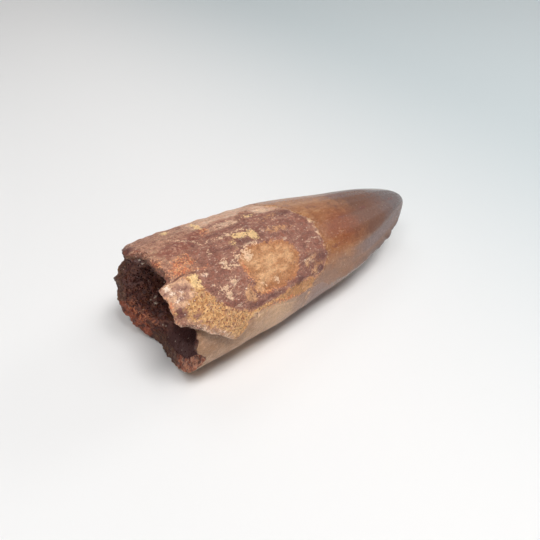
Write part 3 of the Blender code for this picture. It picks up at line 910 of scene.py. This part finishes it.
# Of these marks, the glint spots are painted highlights; the others are the stone's own colours.
for label, strength, paint, *reaches in (
    ("mauve", 0.85, LOBE_MAUVE, 0.4, 0.8, 0.3, 0.6),
    ("glints", 0.7, GLINT_PAINT, 0.1, 0.7, 0.7),
    ("orange", 0.8, orange, 0.4, 1.4, 1.2, 0.6),
    ("tan", 0.75, bare_tan, 0.6, 1.6, 0.6, 0.6),
    ("yellow", 0.9, YELLOW, 0.4, 1.0, 0.4),
    ("cream", 0.85, CREAM, 0.2, 1.2, 0.6),
):
    colour = t.blend(frayed(label, *reaches) * strength, colour, paint)
dark_share = frayed("dark", 0.4, 1.2, 0.6, 0.4)
colour = t.blend(dark_share * 0.85, colour, DARK)
below_ledge, by_ledge = t.field("below_ledge"), t.field("by_ledge")
split_edge = t.blend(t.ramp(0.48, 0.60, brushed), LOBE_PINK, STRIP_PALE)
above = t.ramp(-11.0, -5.0, below_ledge + (small - 0.5) * 12.0) * t.ramp(0.6, -0.6, below_ledge)
above = above * t.ramp(-1.0, 2.5, t.field("along"))
colour = t.blend(above * by_ledge * 0.75, colour, split_edge)
under = t.ramp(-0.5, 0.5, below_ledge) * t.ramp(18.0, 2.0, below_ledge + (small - 0.5) * 8.0)
colour = t.blend(under * by_ledge * 0.6, colour, LEDGE_SHADE)
# A thin pale line along the ledge's lip: a painted highlight.
ledge_highlight = t.ramp(1.5, 0.2, abs(below_ledge + 1.5))
colour = t.blend(ledge_highlight * by_ledge * t.ramp(0.42, 0.55, small) * 0.7, colour, STRIP_PALE)
colour = t.blend(t.ramp(0.32, 0.10, t.field("crack")) * 0.7, colour, DARK)
colour = t.blend(t.ramp(0.35, 0.10, t.field("scratch")) * 0.6, colour, CREAM)
crumbling = t.ramp(1.6, 0.7, t.field("from_rim") + (small - 0.5) * 3.0 + (grain - 0.5) * 4.0)
crumbling = crumbling * (1.0 - t.field("chalky")) * (1.0 - flank_share)
colour = t.blend(crumbling * 0.8, colour, t.blend(t.ramp(0.42, 0.58, flecked), LIP_RED, LIP_DARK))

# %% The enamel
CROWN_TAN = swatch(151, 97, 60)
CROWN_GOLD = swatch(168, 115, 73)
CROWN_ORANGE = swatch(131, 70, 40)
CROWN_BROWN = swatch(106, 67, 48)
CROWN_GREY = swatch(100, 83, 80)
TIP_SHEEN_COLOUR = swatch(190, 184, 178)
LOWER_BROWN = swatch(136, 100, 79)
WRINKLE_GREY = swatch(125, 106, 102)
EDGE_GREY = swatch(104, 86, 82)
EDGE_LINE = swatch(208, 164, 124)

along = t.field("along")
crown = t.blend(t.ramp(0.42, 0.62, mottled), CROWN_TAN, CROWN_GOLD)
crown = t.blend(t.ramp(-4.0, 5.0, t.field("glow") + (patchy - 0.5) * 12.0), crown, CROWN_ORANGE)
crown = t.blend(t.ramp(62.0, 76.0, along + (patchy - 0.5) * 16.0), crown, CROWN_BROWN)
crown = t.blend(t.ramp(80.0, 94.0, along + (patchy - 0.5) * 14.0), crown, CROWN_GREY)
# Painted sheen: the pale spot on top of the tip stands for a reflection on the enamel.
crown = t.blend(t.ramp(-1.5, 3.0, t.field("worn_tip") + (patchy - 0.5) * 4.0) * 0.8, crown, TIP_SHEEN_COLOUR)
crown = t.blend(t.ramp(0.50, 0.15, t.field("upward") + (patchy - 0.5) * 0.6) * 0.8, crown, LOWER_BROWN)
crown = t.blend(t.field("worn_edge") * 0.8, crown, EDGE_GREY)
crown = t.blend(t.field("wrinkled") * 0.85, crown, WRINKLE_GREY)
crown = t.blend(dark_share * 0.6, crown, DARK)
past_edge = t.field("enamel") + (small - 0.5) * 2.4
scratched = t.ramp(0.58, 0.68, brushed) * t.ramp(22.0, 6.0, past_edge)
crown = t.blend(scratched * 0.3, crown, EDGE_LINE)
crown_share = t.ramp(-0.3, 0.3, past_edge) * (1.0 - flank_share)
colour = t.blend(crown_share, colour, crown)
edge_line = t.ramp(0.45, 0.1, abs(past_edge))
edge_flecks = t.ramp(3.0, 0.0, past_edge) * t.ramp(-1.0, 0.0, past_edge) * t.ramp(0.50, 0.60, flecked)
colour = t.blend(edge_line * t.ramp(0.50, 0.60, patchy) * 0.6 + edge_flecks * 0.35, colour, EDGE_LINE)

# %% The broken lip
lip = t.blend(t.ramp(0.50, 0.64, small) * 0.7, LIP_BROWN, LIP_OLIVE)
lip = t.blend(t.ramp(0.30, 0.50, t.field("rusty") + (patchy - 0.5) * 0.8), lip, LIP_RUST)
lip = t.blend(t.ramp(0.46, 0.56, small) * t.field("chalky") * 0.9, lip, LIP_PALE)
lip = t.blend(t.ramp(0.50, 0.60, spotted) * 0.8, lip, LIP_DARK)
colour = t.blend(t.ramp(0.3, 0.7, t.field("lip")), colour, lip)

# %% Grain, gloss and fine relief
rugged = 1.0 - crown_share * 0.75 - flank_share * 0.6 - lobe_share * 0.4 - oval_share * 0.3
WRINKLE_PITCH = 0.9
wrinkle_turn = (t.field("wrinkle_place") + (small - 0.5) * 1.4) * (2.0 * math.pi / WRINKLE_PITCH)
wrinkle = t.node("ShaderNodeMath", {"operation": "SINE"}, {0: wrinkle_turn}) * t.field("wrinkled")
# The wrinkle term paints the wrinkles' crests lighter and their grooves darker: painted light and shade.
shade = 1.0 + (grain - 0.5) * (0.6 + rugged * 0.8) + (small - 0.5) * (0.5 + rugged * 0.3) + wrinkle * 0.12
colour = t.blend(1.0, colour, shade, "MULTIPLY")
# Painted glints: pale specks scattered over the rough root stand for small highlights.
colour = t.blend(t.ramp(0.68, 0.74, pitted) * rugged * 0.8, colour, GLINT_PAINT)
height = (grain - 0.5) * rugged * 0.5 + (small - 0.5) * rugged * 0.8 + skin_share * 0.1 - oval_share * 0.1
height = height - pebble * sand_share * 0.2 + wrinkle * 0.06 + (mottled - 0.5) * 0.06
t.feed(base_color=colour, roughness=0.50 - crown_share * 0.27 - flank_share * 0.06, normal=t.bump(height))
tooth.data.materials.append(t.owner)

# %% [markdown]
# ## The finish of the crust
# The crust is dark: iron has stained it maroon. It turns rust-orange towards the rim on the far side and at the
# bottom, and dull where silt settled. The tint that each crystal carries picks its shade, and the palest few
# are nearly clear, a pale colour that is partly painted glint. Low roughness gives the flat faces their glint.

# %% Crust colours
CRUST_MAROON = swatch(118, 66, 55)
CRUST_DARK = swatch(70, 40, 37)
CRUST_BROWN = swatch(138, 90, 66)
CRUST_RUST = swatch(194, 118, 80)
CRUST_RUST_DARK = swatch(112, 48, 36)
CRUST_SILT = swatch(78, 44, 42)
CRUST_CLEAR_AND_GLINT = swatch(200, 180, 162)

c = Finish(bpy.data.materials.new("crystal_crust"))
tint = c.field("tint")
from_mouth = c.field("from_mouth") + (c.cloud(3.0) - 0.5) * 3.0
crust_colour = c.blend(tint, CRUST_DARK, CRUST_MAROON)
crust_colour = c.blend(c.ramp(0.48, 0.62, c.cloud(1.2)) * 0.6, crust_colour, CRUST_BROWN)
silt = c.ramp(0.25, 0.75, c.field("silt") + (c.cloud(2.0) - 0.5) * 1.6)
crust_colour = c.blend(silt * 0.85, crust_colour, CRUST_SILT)
rust = c.blend(c.ramp(0.46, 0.58, c.cloud(0.8)), CRUST_RUST_DARK, CRUST_RUST)
rust_share = c.field("rusty") * c.ramp(4.0, 1.0, from_mouth) * c.ramp(0.40, 0.54, c.cloud(1.6)) * (1.0 - silt)
crust_colour = c.blend(rust_share, crust_colour, rust)
# The palest crystals: partly clear crystals, partly painted glints.
crust_colour = c.blend(c.ramp(0.96, 0.97, tint), crust_colour, CRUST_CLEAR_AND_GLINT)
c.feed(base_color=crust_colour, roughness=0.45 + silt * 0.35, normal=c.bump(c.cloud(0.35) * 0.15))
crust.data.materials.append(c.owner)

# %% [markdown]
# ## Floor, light and camera
# The tooth lies on white paper, which fades into the pale room at its rim. Most of the light is a window above
# the near side, so the shadow is a thin dark band under the belly, and weaker boxes round it soften that
# shadow. The walls of the room are pale only near the horizon, and a white card stands low behind the tooth.
# They give little light, but the glossy enamel mirrors them, which makes the pale sheen along its upper edge.

# %% A pale floor
FLOOR_HALF = 1.2
PAPER_FADES = 0.7
floor_mesh = bpy.data.meshes.new("floor")
corners = [(x * FLOOR_HALF, y * FLOOR_HALF, 0.0) for x, y in ((-1, -1), (1, -1), (1, 1), (-1, 1))]
floor_mesh.from_pydata(corners, [], [(0, 1, 2, 3)])
floor = bpy.data.objects.new("floor", floor_mesh)
bpy.context.scene.collection.objects.link(floor)
PAPER_WHITE = swatch(235, 234, 233)
PAPER_SHADE_GREY = swatch(203, 211, 213)

paper = Finish(bpy.data.materials.new("paper"))
sideways = {0: paper.place(1.0), 1: (1.0, -0.15, 0.0)}
to_the_right = paper.node("ShaderNodeVectorMath", {"operation": "DOT_PRODUCT"}, sideways, "Value")
reach = paper.node("ShaderNodeVectorMath", {"operation": "LENGTH"}, {0: paper.place(1.0)}, "Value")
# The paper turns greyer to the right: painted shade, where the lamplight falls off.
shaded = paper.ramp(-0.02, 0.2, to_the_right)
paper.feed(base_color=paper.blend(shaded, PAPER_WHITE, PAPER_SHADE_GREY), roughness=0.9)
paper.feed(alpha=paper.ramp(FLOOR_HALF, PAPER_FADES, reach))
floor_mesh.materials.append(paper.owner)

# %% Soft light
WALL_GREY = swatch(182, 184, 186)
CEILING_GREY = swatch(58, 59, 60)

room = Finish(bpy.data.worlds.new("pale_room"), "Background")
ray = room.node("ShaderNodeTexCoord", {}, {}, "Generated")
rise_of_ray = room.node("ShaderNodeSeparateXYZ", {}, {0: ray}, "Z")
room.feed(color=room.blend(room.ramp(0.50, 0.06, rise_of_ray), CEILING_GREY, WALL_GREY))
bpy.context.scene.world = room.owner


def soft_box(name, turn_from_tip, rise, power, size=0.5, distance=1.2):
    """A square area light that faces the tooth, from a compass turn and a rise in degrees."""
    lamp = bpy.data.lights.new(name, "AREA")
    lamp.size = size
    lamp.energy = power
    holder = bpy.data.objects.new(name, lamp)
    level, up = math.radians(turn_from_tip), math.radians(rise)
    away = Vector((math.cos(level) * math.cos(up), math.sin(level) * math.cos(up), math.sin(up)))
    holder.location = away * distance
    holder.rotation_euler = away.to_track_quat("Z", "Y").to_euler()
    bpy.context.scene.collection.objects.link(holder)


soft_box("window", 272.0, 68.0, 5.9, 0.3, 1.0)
soft_box("front_left", 210.0, 60.0, 2.9, 0.4, 1.0)
soft_box("front_right", 300.0, 60.0, 2.1)
soft_box("right_fill", 355.0, 30.0, 1.8)
soft_box("back_rim", 90.0, 62.0, 1.3)
soft_box("white_card", 50.0, 8.0, 1.6, 1.2, 1.3)

# %% The camera
CAMERA_FROM_ROOT = (-49.48, -116.76, 127.93)
CAMERA_FORWARD = (0.4873, 0.6225, -0.6124)
PICTURE_PIXELS = 540
FOCAL_PIXELS = 579.93

lens = bpy.data.cameras.new("camera")
lens.sensor_width = 36.0
lens.lens = FOCAL_PIXELS / PICTURE_PIXELS * lens.sensor_width
lens.clip_start = 0.01
camera = bpy.data.objects.new("camera", lens)
camera.location = (Vector(CAMERA_FROM_ROOT) + Vector((ROOT_X, ROOT_Y, -WORN_FLAT))) * MM
camera.rotation_euler = Vector(CAMERA_FORWARD).to_track_quat("-Z", "Y").to_euler()
bpy.context.scene.collection.objects.link(camera)
bpy.context.scene.camera = camera
bpy.context.scene.view_settings.view_transform = "Standard"
print("camera stands", round(camera.location.length / MM), "mm from the point under the tooth's middle")
